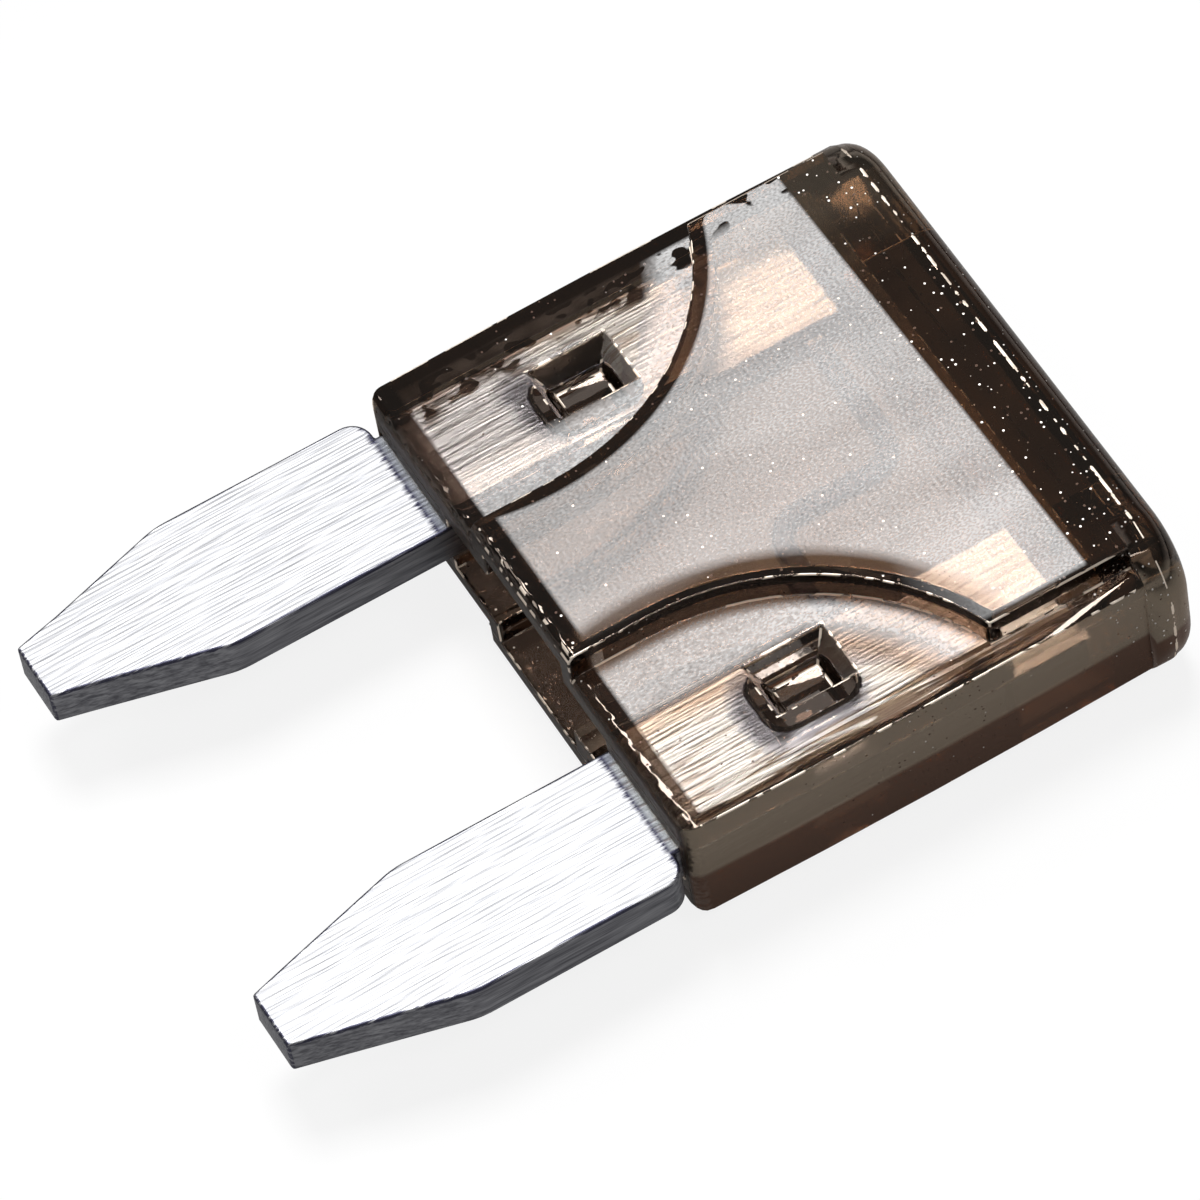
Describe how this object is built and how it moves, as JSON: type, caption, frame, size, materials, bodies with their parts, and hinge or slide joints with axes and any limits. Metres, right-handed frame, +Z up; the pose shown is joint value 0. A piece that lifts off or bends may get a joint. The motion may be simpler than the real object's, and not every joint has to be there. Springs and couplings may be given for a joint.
{
  "type": "automotive blade fuse",
  "caption": "Small plug-in blade fuse: a stepped translucent moulded housing over a stamped metal strip whose flat tapered blades stand out of one end.",
  "frame": {"origin": "centre of the bounding box's underside, the plane that the fuse lies on", "axes": "+Y from the blades' tips to the head, +X across the blades, +Z up out of the broad face"},
  "size_m": [0.011, 0.0164, 0.0035],
  "materials": {
    "housing_plastic": "translucent brown moulded plastic, glossy, with fine specks and flow marks",
    "strip_metal": "bright zinc strip with fine lengthwise rolling marks and grey sheared edges"
  },
  "bodies": {
    "root": {"housing": "housing_plastic", "fuse_element": "strip_metal"}
  },
  "joints": []
}
